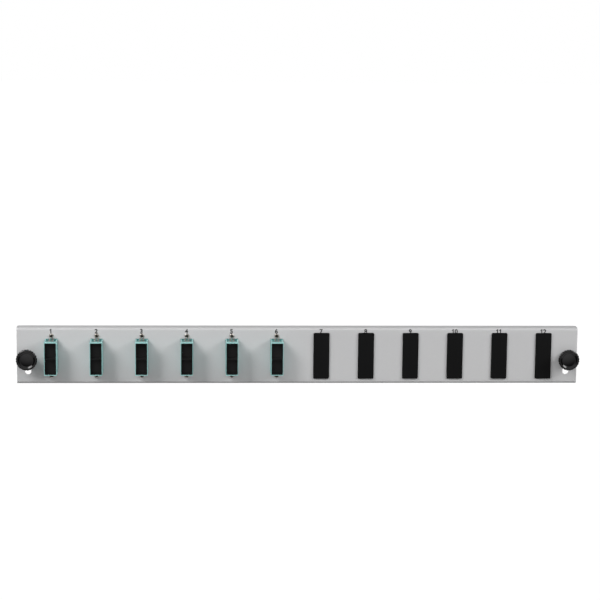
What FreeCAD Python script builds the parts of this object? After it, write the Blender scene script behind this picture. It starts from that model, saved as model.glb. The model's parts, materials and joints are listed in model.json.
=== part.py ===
"""A 1U fibre adapter panel: a folded steel front with twelve ports, six duplex adapters with dust
caps, six snap-in blanks and two captive thumbscrews. Millimetres, +Y to the rear, +Z up, with the
origin at the centre of the plate's rear face.
"""

import FreeCAD, Part
import Sketcher
import math
import os
import re

from FreeCAD import Rotation, Vector

doc = FreeCAD.newDocument("fibre_adapter_panel")
sheet = doc.addObject("Spreadsheet::Sheet", "Sizes")

# Driving dimensions: alias, value, meaning
SIZES = [
    ("panel_width", 431.2, "plate, end to end"),
    ("panel_height", 43.6, "plate, one rack unit less its gap"),
    ("panel_gauge", 1.5, "sheet thickness"),
    ("fold_depth", 9.5, "top and bottom folds, from the front face"),
    ("bend_radius", 0.6, "inside radius of each fold"),
    ("fold_corner", 2.0, "free corners of the folds"),
    ("port_count", 12, "places for an adapter or a blank"),
    ("adapter_count", 6, "places that hold an adapter"),
    ("end_margin", 26.4, "plate's end to the middle of its first place"),
    ("cutout_clear", 0.15, "cutout beside the housing"),
    ("cutout_rise", 0.4, "cutout above and below the housing"),
    ("screw_hole_clear", 0.15, "hole round the screw's shank"),
    ("flange_margin", 3.9, "plate's edge to the adapter's flange"),
    ("screw_edge", 2.4, "flange's end to its screw"),
    ("screw_gap", 2.7, "screw to the adapter body's end"),
    ("housing_width", 9.5, "adapter body across the panel"),
    ("front_stand", 14.0, "adapter in front of the panel"),
    ("rear_stand", 13.0, "adapter behind its flange"),
    ("flange_lap", 1.65, "adapter flange past its body, each side"),
    ("flange_half", 1.0, "each shell's half of the flange"),
    ("flange_corner", 1.2, "corner radius of the flange"),
    ("port_web", 3.6, "between an adapter's two ports"),
    ("port_step", 1.2, "mouth's end to the port"),
    ("port_side", 0.6, "mouth's side to the port"),
    ("key_width", 2.6, "key slot up the port's side"),
    ("key_depth", 0.5, "key slot into the port's side"),
    ("mouth_side", 0.4, "adapter's wall beside the recess for both caps"),
    ("mouth_end", 0.7, "adapter's wall above and below that recess"),
    ("mouth_depth", 3.5, "that recess behind the adapter's face"),
    ("holder_radius", 2.3, "sleeve holder's tube, outside"),
    ("holder_lip_bore", 1.3, "radius left open at the holder's ends"),
    ("holder_lip", 0.6, "thickness of the holder's end lips"),
    ("holder_lap", 0.5, "holder's plate past the port, all round"),
    ("holder_plate", 1.2, "holder's plate thickness"),
    ("holder_seat_clear", 0.05, "play of the holder's plate between the shells"),
    ("sleeve_radius", 1.6, "ceramic sleeve, outside"),
    ("sleeve_bore", 1.25, "ceramic sleeve, inside"),
    ("sleeve_length", 11.4, "ceramic sleeve"),
    ("sleeve_slit", 0.5, "slit along the sleeve"),
    ("sleeve_clear", 0.05, "play round the sleeve"),
    ("sleeve_float", 0.1, "end play of the sleeve, each end"),
    ("cap_clear", 0.1, "cap in its recess and port, each side"),
    ("cap_gap", 0.2, "between the two caps of a pair"),
    ("cap_proud", 0.5, "cap in front of the adapter's face"),
    ("cap_wall", 0.6, "wall of the cap's cup"),
    ("cap_floor", 0.7, "floor of the cap's cup"),
    ("plug_length", 7.0, "cap inside the port"),
    ("plug_bore_clear", 0.25, "plug's hole round the holder's tube"),
    ("plug_bore_depth", 5.0, "depth of that hole"),
    ("plug_lead", 0.5, "chamfer at the plug's end"),
    ("clip_width", 3.6, "spring clip across"),
    ("clip_gauge", 0.4, "spring clip thickness"),
    ("clip_slot", 1.1, "slot that forks the clip's tongue"),
    ("clip_bridge", 0.6, "sloping tongue left whole in front of that slot"),
    ("clip_recess_side", 0.95, "adapter's side to the clip's recess"),
    ("clip_recess_depth", 0.9, "recess for the clip, into the housing's end"),
    ("clip_recess_margin", 0.6, "housing left between the mouth and the clip's recess"),
    ("clip_rise", 0.75, "clip's tongue above the housing's end"),
    ("clip_foot", 2.4, "flat front end of the clip"),
    ("clip_panel_gap", 0.25, "clip's tongue to the panel's front face"),
    ("clip_end_gap", 0.3, "recess in front of the clip"),
    ("window_inset", 0.2, "window from the clip and from the recess's side"),
    ("shank_radius", 1.0, "adapter screw's shank"),
    ("head_radius", 1.75, "adapter screw's head"),
    ("head_height", 1.1, "adapter screw's head"),
    ("head_crown", 0.35, "bevel round the screw's head"),
    ("nut_flats", 4.0, "adapter nut across its flats"),
    ("nut_thickness", 1.6, "adapter nut"),
    ("nut_clear", 0.02, "thread play in the nut"),
    ("screw_tip", 0.8, "adapter screw past its nut"),
    ("blank_lap", 1.2, "blank past its cutout, each side"),
    ("blank_margin", 3.9, "plate's edge to the blank"),
    ("blank_thickness", 1.5, "blank"),
    ("blank_corner", 1.0, "corner radius of the blank"),
    ("blank_edge", 0.5, "rounding of the blank's front edge"),
    ("leg_width", 6.0, "blank's snap legs across"),
    ("leg_thickness", 1.3, "blank's snap legs"),
    ("leg_clear", 0.15, "snap leg to the cutout's edge"),
    ("leg_length", 4.2, "snap leg behind the plate's rear face"),
    ("hook_height", 0.75, "snap leg's hook"),
    ("hook_gap", 0.1, "hook to the plate's rear face"),
    ("hook_back", 1.0, "flat top of the hook"),
    ("rib_wall", 1.0, "blank's locating frame"),
    ("rib_depth", 1.2, "blank's locating frame into the cutout"),
    ("rib_clear", 0.25, "locating frame to the cutout's sides"),
    ("knob_inset", 8.35, "plate's end to the thumbscrew's axis"),
    ("knob_drop", 1.2, "thumbscrew axis below the panel's middle"),
    ("slot_width", 4.8, "slot behind each thumbscrew"),
    ("slot_margin", 9.4, "plate's lower edge to the slot's lower end centre"),
    ("knob_radius", 8.1, "knob's widest ring"),
    ("knob_length", 12.9, "knob's front from the panel"),
    ("knob_ring", 1.5, "thickness of the widest ring"),
    ("knob_rim", 7.3, "radius of the front rim"),
    ("knob_dish_radius", 6.5, "radius of the dished front"),
    ("knob_dish", 1.4, "depth of the dished front"),
    ("knob_waist", 4.6, "radius of the knob's waist"),
    ("knob_waist_at", 5.8, "waist from the panel"),
    ("knob_foot", 5.0, "radius of the knob's foot"),
    ("knob_foot_height", 1.6, "knob's foot"),
    ("knob_panel_gap", 0.2, "knob's foot to the panel"),
    ("knob_core", 3.0, "solid knob left in front of its screw"),
    ("flute_count", 24, "flutes round the widest ring"),
    ("flute_radius", 0.55, "flute"),
    ("thread_radius", 2.5, "thumbscrew's thread, outside"),
    ("thread_length", 8.0, "thumbscrew's thread behind the bush"),
    ("thread_lead", 0.5, "chamfer at the thumbscrew's end"),
    ("neck_radius", 1.6, "thumbscrew's neck in the bush"),
    ("neck_clear", 0.08, "neck in the bush"),
    ("bush_radius", 5.0, "bush's flange behind the plate"),
    ("bush_flange", 1.5, "bush's flange thickness"),
    ("bush_slot_clear", 0.15, "bush in the slot, each side"),
    ("bush_panel_gap", 0.1, "bush's flange to the plate"),
    ("bush_front_inset", 0.1, "bush behind the plate's front face"),
    ("bush_shoulder_gap", 0.1, "bush to the thread's shoulder"),
]
ALIASES = {alias for alias, _, _ in SIZES}
for row, (alias, value, meaning) in enumerate(SIZES, 1):
    sheet.set(f"A{row}", meaning)
    sheet.set(f"B{row}", str(value))
    sheet.setAlias(f"B{row}", alias)
doc.recompute()


def size(alias):
    """Value of one cell."""
    return getattr(sheet, alias)


def formula(text):
    """Expression in the sheet's names, such as 'panel_width / 2'."""
    return re.sub(r"[a-z_]+", lambda word: "Sizes." + word[0] if word[0] in ALIASES else word[0], text)


def bind(target, name, text):
    target.setExpression(name, formula(text))


def measure(text):
    """Present value of a formula."""
    found = sheet.evalExpression(formula(text))
    return float(getattr(found, "Value", found))


# Places that many pieces share
PLATE_FRONT = "panel_gauge"
HALF_WIDTH = "panel_width / 2"
HALF_HEIGHT = "panel_height / 2"
PITCH = "((panel_width - 2 * end_margin) / (port_count - 1))"
FACE = "(panel_gauge + front_stand)"
FLANGE_WIDTH = "(housing_width + 2 * flange_lap)"
FLANGE_HEIGHT = "(panel_height - 2 * flange_margin)"
SCREW_SPACING = "(panel_height - 2 * flange_margin - 2 * screw_edge)"
HOUSING_HEIGHT = "(panel_height - 2 * flange_margin - 2 * screw_edge - 2 * screw_gap)"
FLANGE_BACK = "(2 * flange_half)"
REAR_FACE = "(2 * flange_half + rear_stand)"
CUTOUT_WIDTH = "(housing_width + 2 * cutout_clear)"
CUTOUT_HEIGHT = f"({HOUSING_HEIGHT} + 2 * cutout_rise)"
MOUTH_WIDTH = "(housing_width - 2 * mouth_side)"
MOUTH_HEIGHT = f"({HOUSING_HEIGHT} - 2 * mouth_end)"
PORT_WIDTH = f"({MOUTH_WIDTH} - 2 * port_side)"
PORT_HEIGHT = f"({MOUTH_HEIGHT} / 2 - port_step - port_web / 2)"
PORT_SPACING = f"({MOUTH_HEIGHT} / 2 - port_step + port_web / 2)"
RECESS_WIDTH = "(housing_width - 2 * clip_recess_side)"
HOLE_RADIUS = "(shank_radius + screw_hole_clear)"
HOLDER_BORE = "(sleeve_radius + sleeve_clear)"
HOLDER_HALF = "(sleeve_length / 2 + sleeve_float + holder_lip)"
CUP_WIDTH = f"({MOUTH_WIDTH} - 2 * cap_clear)"
CUP_HEIGHT = f"({MOUTH_HEIGHT} / 2 - cap_clear - cap_gap / 2)"
CUP_BACK = "(mouth_depth - cap_clear)"
CUP_SHIFT = f"({PORT_SPACING} / 2 - {MOUTH_HEIGHT} / 4 + cap_clear / 2 - cap_gap / 4)"
KNOB_OFFSET = "(panel_width / 2 - knob_inset)"
ADAPTER_ROW = f"{PITCH} * (adapter_count - 1)"
BUSH_BACK = "(bush_panel_gap + bush_flange)"
SHOULDER = "(bush_panel_gap + bush_flange + bush_shoulder_gap)"


def port_place(number):
    """Formula for the X of port 1, 2 and so on."""
    return f"{PITCH} * ({number} - (port_count + 1) / 2)"


def new_body(label, along="0", up="0", deep="0"):
    body = doc.addObject("PartDesign::Body", label)
    body.Label = label
    for axis, text in (("x", along), ("y", deep), ("z", up)):
        if text != "0":
            bind(body, f"Placement.Base.{axis}", text)
    return body


def new_sketch(body, name, role, forward="0"):
    """Sketch on an origin plane. On XZ_Plane forward moves it towards -Y."""
    sketch = body.newObject("Sketcher::SketchObject", f"{body.Name}_{name}")
    plane = next(item for item in body.Origin.OriginFeatures if item.Role == role)
    sketch.AttachmentSupport = [(plane, "")]
    sketch.MapMode = "FlatFace"
    if forward != "0":
        bind(sketch, "AttachmentOffset.Base.z", forward)
    return sketch


def fix_point(sketch, element, end, across, up):
    """Hold one end of a sketch element at two formulas from the sketch's origin."""
    for kind, text in (("DistanceX", across), ("DistanceY", up)):
        if text is not None:
            index = sketch.addConstraint(Sketcher.Constraint(kind, -1, 1, element, end, measure(text)))
            bind(sketch, f"Constraints[{index}]", text)


def outline(sketch, points):
    """Closed straight-sided outline through points given as pairs of formulas."""
    spots = [Vector(measure(across), measure(up), 0) for across, up in points]
    first = sketch.GeometryCount
    count = len(spots)
    for index in range(count):
        sketch.addGeometry(Part.LineSegment(spots[index], spots[(index + 1) % count]))
    for index in range(count):
        follower = first + (index + 1) % count
        sketch.addConstraint(Sketcher.Constraint("Coincident", first + index, 2, follower, 1))
        fix_point(sketch, first + index, 1, *points[index])


def rectangle(sketch, width, height, across="0", up="0"):
    left, right = (f"{across} {sign} ({width}) / 2" for sign in "-+")
    low, high = (f"{up} {sign} ({height}) / 2" for sign in "-+")
    outline(sketch, [(left, low), (right, low), (right, high), (left, high)])


def circle(sketch, radius, across="0", up="0"):
    centre = Vector(measure(across), measure(up), 0)
    element = sketch.addGeometry(Part.Circle(centre, Vector(0, 0, 1), measure(radius)))
    index = sketch.addConstraint(Sketcher.Constraint("Radius", element, measure(radius)))
    bind(sketch, f"Constraints[{index}]", radius)
    fix_point(sketch, element, 3, across, up)


def slot(sketch, width, across, top, bottom):
    """Upright slot with round ends, between the centres of its ends."""
    radius = measure(width) / 2
    lanes = [measure(across) + radius, measure(across) - radius]
    levels = [measure(top), measure(bottom)]
    ends = []
    for level, start in zip(levels, (0, math.pi)):
        ring = Part.Circle(Vector(measure(across), level, 0), Vector(0, 0, 1), radius)
        ends.append(sketch.addGeometry(Part.ArcOfCircle(ring, start, start + math.pi)))
    for end, up, side in ((ends[0], top, "+"), (ends[1], bottom, "-")):
        fix_point(sketch, end, 3, across, up)
        fix_point(sketch, end, 1, f"{across} {side} ({width}) / 2", up)
        fix_point(sketch, end, 2, None, up)
    for first, second, lane, way in ((ends[0], ends[1], lanes[1], 1), (ends[1], ends[0], lanes[0], -1)):
        start, stop = (Vector(lane, level, 0) for level in levels[::way])
        line = sketch.addGeometry(Part.LineSegment(start, stop))
        sketch.addConstraint(Sketcher.Constraint("Coincident", first, 2, line, 1))
        sketch.addConstraint(Sketcher.Constraint("Coincident", line, 2, second, 1))


def feature(body, kind, sketch, length, reverse=False, middle=False):
    """Pad or pocket whose length is a formula. It must change the body's volume."""
    doc.recompute()
    before = body.Shape.Volume if body.Tip else 0.0
    made = body.newObject(f"PartDesign::{kind}", f"{sketch.Name}_{kind.lower()}")
    made.Profile = (sketch, [""])
    made.SideType = "Symmetric" if middle else "One side"
    made.Reversed = reverse
    bind(made, "Length", length)
    doc.recompute()
    if abs(body.Shape.Volume - before) < 1e-6:
        raise ValueError(f"{made.Name} changes nothing")
    return made


def pad(body, sketch, length, **way):
    return feature(body, "Pad", sketch, length, **way)


def pocket(body, sketch, length, **way):
    return feature(body, "Pocket", sketch, length, **way)


def revolve(body, sketch, axis):
    made = body.newObject("PartDesign::Revolution", f"{sketch.Name}_revolution")
    made.Profile = (sketch, [""])
    made.ReferenceAxis = (sketch, [axis])
    made.Angle = 360
    doc.recompute()
    return made


def edges_where(shape, test):
    return [f"Edge{index}" for index, edge in enumerate(shape.Edges, 1) if test(edge)]


def runs_along(edge, axis):
    """True for a straight edge parallel to an axis."""
    if not isinstance(edge.Curve, (Part.Line, Part.LineSegment)):
        return False
    return abs(abs(edge.tangentAt(edge.FirstParameter).dot(axis)) - 1) < 1e-6


def round_edges(body, radius, test, kind="Fillet"):
    doc.recompute()
    base = body.Tip
    names = edges_where(base.Shape, test)
    if not names:
        raise ValueError(f"no edge to round on {body.Label}")
    made = body.newObject(f"PartDesign::{kind}", f"{base.Name}_{kind.lower()}")
    made.Base = (base, names)
    bind(made, "Radius" if kind == "Fillet" else "Size", radius)
    doc.recompute()
    return made


def repeat(body, originals, sketch, length, count, second_length=None):
    """Row of a body's features along the sketch's H axis, and a pair along its V axis."""
    row = body.newObject("PartDesign::LinearPattern", f"{body.Name}_row")
    row.Originals = originals
    row.Direction = (sketch, ["H_Axis"])
    bind(row, "Length", length)
    bind(row, "Occurrences", count)
    if second_length:
        row.Direction2 = (sketch, ["V_Axis"])
        bind(row, "Length2", second_length)
        row.Occurrences2 = 2
    body.Tip = row
    doc.recompute()
    return row


ALONG_X, ALONG_Y, ALONG_Z = Vector(1, 0, 0), Vector(0, 1, 0), Vector(0, 0, 1)


def near(value, text):
    return abs(value - measure(text)) < 1e-4


def build_panel_plate():
    """Folded front plate with its cutouts, screw holes and thumbscrew slots."""
    body = new_body("panel_plate")
    section = new_sketch(body, "section", "YZ_Plane")
    fold_end = "fold_depth - panel_gauge"
    inner = f"{HALF_HEIGHT} - panel_gauge"
    outline(section, [
        (f"-{PLATE_FRONT}", f"-{HALF_HEIGHT}"), (fold_end, f"-{HALF_HEIGHT}"),
        (fold_end, f"-({inner})"), ("0", f"-({inner})"),
        ("0", inner), (fold_end, inner),
        (fold_end, HALF_HEIGHT), (f"-{PLATE_FRONT}", HALF_HEIGHT),
    ])
    pad(body, section, "panel_width", middle=True)
    round_edges(body, "bend_radius", lambda edge: runs_along(edge, ALONG_X)
                and near(edge.CenterOfMass.y, "0") and near(abs(edge.CenterOfMass.z), inner))
    round_edges(body, "bend_radius + panel_gauge", lambda edge: runs_along(edge, ALONG_X)
                and near(edge.CenterOfMass.y, f"-{PLATE_FRONT}") and near(abs(edge.CenterOfMass.z), HALF_HEIGHT))

    round_edges(body, "fold_corner", lambda edge: runs_along(edge, ALONG_Z)
                and near(abs(edge.CenterOfMass.x), HALF_WIDTH) and near(edge.CenterOfMass.y, fold_end))

    port = new_sketch(body, "port", "XZ_Plane")
    rectangle(port, CUTOUT_WIDTH, CUTOUT_HEIGHT, across=port_place(1))
    for side in "-+":
        circle(port, HOLE_RADIUS, across=port_place(1), up=f"0 {side} {SCREW_SPACING} / 2")
    first = pocket(body, port, "4 * panel_gauge", middle=True)
    repeat(body, [first], port, f"{PITCH} * (port_count - 1)", "port_count")

    slots = new_sketch(body, "slots", "XZ_Plane")
    for side in "-+":
        slot(slots, "slot_width", f"0 {side} {KNOB_OFFSET}", "-knob_drop", f"-({HALF_HEIGHT} - slot_margin)")
    pocket(body, slots, "4 * panel_gauge", middle=True)
    return body


def add_ports(body, name, face, depth, reverse):
    """Mouth, two ports with key slots and the holder's seats, cut from a shell's open end."""
    mouth = new_sketch(body, f"{name}_mouth", "XZ_Plane", forward=face)
    rectangle(mouth, MOUTH_WIDTH, MOUTH_HEIGHT)
    pocket(body, mouth, "mouth_depth", reverse=reverse)
    ports = new_sketch(body, f"{name}_ports", "XZ_Plane", forward=face)
    keys = new_sketch(body, f"{name}_keys", "XZ_Plane", forward=face)
    for side in "-+":
        up = f"0 {side} {PORT_SPACING} / 2"
        rectangle(ports, PORT_WIDTH, PORT_HEIGHT, up=up)
        rectangle(keys, "2 * key_depth", "key_width", across=f"{PORT_WIDTH} / 2", up=up)
    pocket(body, ports, depth, reverse=reverse)
    pocket(body, keys, depth, reverse=reverse)


def add_seats(body, inward):
    """Recesses for the sleeve holders' plates in a shell's split face, and its screw holes."""
    split = "-flange_half"
    seats = new_sketch(body, "seats", "XZ_Plane", forward=split)
    holes = new_sketch(body, "holes", "XZ_Plane", forward=split)
    for side in "-+":
        rectangle(seats, f"{PORT_WIDTH} + 2 * holder_lap + 2 * holder_seat_clear",
                  f"{PORT_HEIGHT} + 2 * holder_lap + 2 * holder_seat_clear", up=f"0 {side} {PORT_SPACING} / 2")
        circle(holes, HOLE_RADIUS, up=f"0 {side} {SCREW_SPACING} / 2")
    pocket(body, seats, "holder_plate / 2 + holder_seat_clear", reverse=inward)
    pocket(body, holes, "2 * flange_half", reverse=inward)


def round_flange(body):
    round_edges(body, "flange_corner", lambda edge: runs_along(edge, ALONG_Y)
                and near(abs(edge.CenterOfMass.x), f"{FLANGE_WIDTH} / 2")
                and near(abs(edge.CenterOfMass.z), f"{FLANGE_HEIGHT} / 2"))


def build_front_shell(number):
    """Front half of an adapter: half the flange, and the housing that stands in front."""
    body = new_body(f"front_shell_{number}", along=port_place(number))
    flange = new_sketch(body, "flange", "XZ_Plane")
    rectangle(flange, FLANGE_WIDTH, FLANGE_HEIGHT)
    pad(body, flange, "flange_half", reverse=True)
    round_flange(body)
    housing = new_sketch(body, "housing", "XZ_Plane")
    rectangle(housing, "housing_width", HOUSING_HEIGHT)
    pad(body, housing, FACE)
    add_ports(body, "front", FACE, f"{FACE} + flange_half", reverse=False)
    add_seats(body, inward=True)

    # Recess for the spring clip in each end, back to the flange, with a window each side of the clip
    recess_front = f"{FACE} - mouth_depth - clip_recess_margin"
    windows_front = f"{recess_front} - clip_end_gap - window_inset"
    recess = new_sketch(body, "clip_recess", "XZ_Plane", forward=recess_front)
    windows = new_sketch(body, "windows", "XZ_Plane", forward=windows_front)
    into_port = f"{HOUSING_HEIGHT} / 2 - {PORT_SPACING} / 2 - {PORT_HEIGHT} / 4"
    for side in "-+":
        up = f"0 {side} {HOUSING_HEIGHT} / 2"
        rectangle(recess, RECESS_WIDTH, "2 * clip_recess_depth", up=up)
        for edge in "-+":
            rectangle(windows, f"({RECESS_WIDTH} - clip_width) / 2 - 2 * window_inset", f"2 * ({into_port})",
                      across=f"0 {edge} ({RECESS_WIDTH} + clip_width) / 4", up=up)
    pocket(body, recess, recess_front)
    pocket(body, windows, windows_front)
    return body


def build_rear_shell(number):
    """Rear half of an adapter: the other half of the flange, and the housing behind it."""
    body = new_body(f"rear_shell_{number}", along=port_place(number))
    flange = new_sketch(body, "flange", "XZ_Plane", forward="-flange_half")
    rectangle(flange, FLANGE_WIDTH, FLANGE_HEIGHT)
    pad(body, flange, "flange_half", reverse=True)
    round_flange(body)
    housing = new_sketch(body, "housing", "XZ_Plane", forward="-flange_half")
    rectangle(housing, "housing_width", HOUSING_HEIGHT)
    pad(body, housing, "flange_half + rear_stand", reverse=True)
    add_ports(body, "rear", f"-{REAR_FACE}", f"{REAR_FACE} - flange_half", reverse=True)
    add_seats(body, inward=False)
    return body


def build_adapter_clips(number):
    """Forked tongues of spring steel in an adapter's two ends, which catch the plate's front face."""
    body = new_body(f"adapter_clips_{number}", along=port_place(number))
    profile = new_sketch(body, "profile", "YZ_Plane")
    front = f"-({FACE} - mouth_depth - clip_recess_margin - clip_end_gap)"
    knee = f"{front} + clip_foot"
    back = f"-({PLATE_FRONT} + clip_panel_gap)"
    seat = f"{HOUSING_HEIGHT} / 2 - clip_recess_depth"
    top = f"{HOUSING_HEIGHT} / 2 + clip_rise"
    for side in ("", "-"):
        outline(profile, [
            (front, f"{side}({seat})"), (knee, f"{side}({seat})"),
            (back, f"{side}({top} - clip_gauge)"), (back, f"{side}({top})"),
            (knee, f"{side}({seat} + clip_gauge)"), (front, f"{side}({seat} + clip_gauge)"),
        ])
    pad(body, profile, "clip_width", middle=True)
    fork = new_sketch(body, "fork", "XY_Plane")
    outline(fork, [
        ("-clip_slot / 2", f"{knee} + clip_bridge"), ("clip_slot / 2", f"{knee} + clip_bridge"),
        ("clip_slot / 2", "0"), ("-clip_slot / 2", "0"),
    ])
    pocket(body, fork, "panel_height", middle=True)
    return body


def build_sleeve_holders():
    """Tube and plate that carry each sleeve, held between an adapter's two shells."""
    body = new_body("sleeve_holders")
    along, up = port_place(1), f"-{PORT_SPACING} / 2"
    ring = new_sketch(body, "tube", "XZ_Plane", forward="-flange_half")
    circle(ring, "holder_radius", along, up)
    tube = pad(body, ring, f"2 * {HOLDER_HALF}", middle=True)
    flat = new_sketch(body, "plate", "XZ_Plane", forward="-flange_half")
    rectangle(flat, f"{PORT_WIDTH} + 2 * holder_lap", f"{PORT_HEIGHT} + 2 * holder_lap", along, up)
    plate = pad(body, flat, "holder_plate", middle=True)
    lip = new_sketch(body, "lip", "XZ_Plane", forward="-flange_half")
    circle(lip, "holder_lip_bore", along, up)
    mouth = pocket(body, lip, f"2 * {HOLDER_HALF} + panel_gauge", middle=True)
    hollow = new_sketch(body, "bore", "XZ_Plane", forward="-flange_half")
    circle(hollow, HOLDER_BORE, along, up)
    bore = pocket(body, hollow, f"2 * {HOLDER_HALF} - 2 * holder_lip", middle=True)
    repeat(body, [tube, plate, mouth, bore], ring, ADAPTER_ROW, "adapter_count", PORT_SPACING)
    return body


def build_split_sleeves():
    """Slit ceramic sleeve in each holder, which lines two ferrules up."""
    body = new_body("split_sleeves")
    along, up = port_place(1), f"-{PORT_SPACING} / 2"
    ring = new_sketch(body, "ring", "XZ_Plane", forward="-flange_half")
    circle(ring, "sleeve_radius", along, up)
    circle(ring, "sleeve_bore", along, up)
    tube = pad(body, ring, "sleeve_length", middle=True)
    cut = new_sketch(body, "slit", "XZ_Plane", forward="-flange_half")
    rectangle(cut, "sleeve_slit", "2 * sleeve_radius", along, f"{up} + sleeve_radius")
    slit = pocket(body, cut, "sleeve_length + panel_gauge", middle=True)
    repeat(body, [tube, slit], ring, ADAPTER_ROW, "adapter_count", PORT_SPACING)
    return body


def build_dust_cap(label, number, upper, rear):
    """Cup that fills its share of the mouth, with a plug that fills its port."""
    body = new_body(label, along=port_place(number), deep=REAR_FACE if rear else f"-{FACE}",
                    up=f"{PORT_SPACING} / 2" if upper else f"-{PORT_SPACING} / 2")
    turn = Rotation(ALONG_Z, 180) if rear else Rotation()
    body.Placement.Rotation = turn if upper else turn.multiply(Rotation(ALONG_Y, 180))
    cup = new_sketch(body, "cup", "XZ_Plane", forward="cap_proud")
    rectangle(cup, CUP_WIDTH, CUP_HEIGHT, up=f"-{CUP_SHIFT}")
    pad(body, cup, f"cap_proud + {CUP_BACK}", reverse=True)
    stem = new_sketch(body, "stem", "XZ_Plane", forward=f"-{CUP_BACK}")
    rectangle(stem, f"{PORT_WIDTH} - 2 * cap_clear", f"{PORT_HEIGHT} - 2 * cap_clear")
    pad(body, stem, "plug_length", reverse=True)
    tip = f"{CUP_BACK} + plug_length"
    round_edges(body, "plug_lead", lambda edge: near(edge.CenterOfMass.y, tip), kind="Chamfer")
    hollow = new_sketch(body, "hollow", "XZ_Plane", forward="cap_proud")
    rectangle(hollow, f"{CUP_WIDTH} - 2 * cap_wall", f"{CUP_HEIGHT} - 2 * cap_wall", up=f"-{CUP_SHIFT}")
    pocket(body, hollow, f"cap_proud + {CUP_BACK} - cap_floor")
    socket = new_sketch(body, "socket", "XZ_Plane", forward=f"-({tip})")
    circle(socket, "holder_radius + plug_bore_clear")
    pocket(body, socket, "plug_bore_depth", reverse=True)
    return body


def build_adapter_screws():
    """Pan-head screws through the plate and the adapters' flanges."""
    body = new_body("adapter_screws")
    along, up = port_place(1), f"-{SCREW_SPACING} / 2"
    top = new_sketch(body, "head", "XZ_Plane", forward=PLATE_FRONT)
    circle(top, "head_radius", along, up)
    head = pad(body, top, "head_height")
    front = f"-({PLATE_FRONT} + head_height)"
    crown = round_edges(body, "head_crown", lambda edge: near(edge.CenterOfMass.y, front), kind="Chamfer")
    stem = new_sketch(body, "shank", "XZ_Plane", forward=PLATE_FRONT)
    circle(stem, "shank_radius", along, up)
    shank = pad(body, stem, f"{PLATE_FRONT} + {FLANGE_BACK} + nut_thickness + screw_tip", reverse=True)
    repeat(body, [head, crown, shank], top, ADAPTER_ROW, "adapter_count", SCREW_SPACING)
    return body


def build_adapter_nuts():
    """Hexagon nuts on the adapter screws, behind the flanges."""
    body = new_body("adapter_nuts")
    along, up = port_place(1), f"-{SCREW_SPACING} / 2"
    flat = new_sketch(body, "hexagon", "XZ_Plane", forward=f"-{FLANGE_BACK}")
    half, corner = "nut_flats / 2", "nut_flats / sqrt(3)"
    outline(flat, [
        (f"{along} + {corner}", up), (f"{along} + {corner} / 2", f"{up} + {half}"),
        (f"{along} - {corner} / 2", f"{up} + {half}"), (f"{along} - {corner}", up),
        (f"{along} - {corner} / 2", f"{up} - {half}"), (f"{along} + {corner} / 2", f"{up} - {half}"),
    ])
    circle(flat, "shank_radius + nut_clear", along, up)
    nut = pad(body, flat, "nut_thickness", reverse=True)
    repeat(body, [nut], flat, ADAPTER_ROW, "adapter_count", SCREW_SPACING)
    return body


def build_blank(number):
    """Moulded blank with a locating frame in the cutout and two snap legs."""
    body = new_body(f"blank_{number}", along=port_place(number))
    flat = new_sketch(body, "plate", "XZ_Plane", forward=PLATE_FRONT)
    rectangle(flat, f"{CUTOUT_WIDTH} + 2 * blank_lap", "panel_height - 2 * blank_margin")
    pad(body, flat, "blank_thickness")
    round_edges(body, "blank_corner", lambda edge: runs_along(edge, ALONG_Y))
    front = f"-({PLATE_FRONT} + blank_thickness)"
    round_edges(body, "blank_edge", lambda edge: near(edge.CenterOfMass.y, front))

    frame = new_sketch(body, "frame", "XZ_Plane", forward=PLATE_FRONT)
    frame_width = f"{CUTOUT_WIDTH} - 2 * rib_clear"
    frame_height = f"{CUTOUT_HEIGHT} - 2 * leg_clear - 2 * leg_thickness"
    rectangle(frame, frame_width, frame_height)
    rectangle(frame, f"{frame_width} - 2 * rib_wall", f"{frame_height} - 2 * rib_wall")
    pad(body, frame, "rib_depth", reverse=True)

    legs = new_sketch(body, "legs", "YZ_Plane")
    outer = f"({CUTOUT_HEIGHT} / 2 - leg_clear)"
    inner = f"({outer} - leg_thickness)"
    for side in ("", "-"):
        outline(legs, [
            (f"-{PLATE_FRONT}", f"{side}{inner}"), ("leg_length", f"{side}{inner}"),
            ("leg_length", f"{side}({outer} - leg_thickness / 3)"),
            ("hook_gap + hook_back", f"{side}({outer} + hook_height)"),
            ("hook_gap", f"{side}({outer} + hook_height)"),
            ("hook_gap", f"{side}{outer}"), (f"-{PLATE_FRONT}", f"{side}{outer}"),
        ])
    pad(body, legs, "leg_width", middle=True)
    return body


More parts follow.
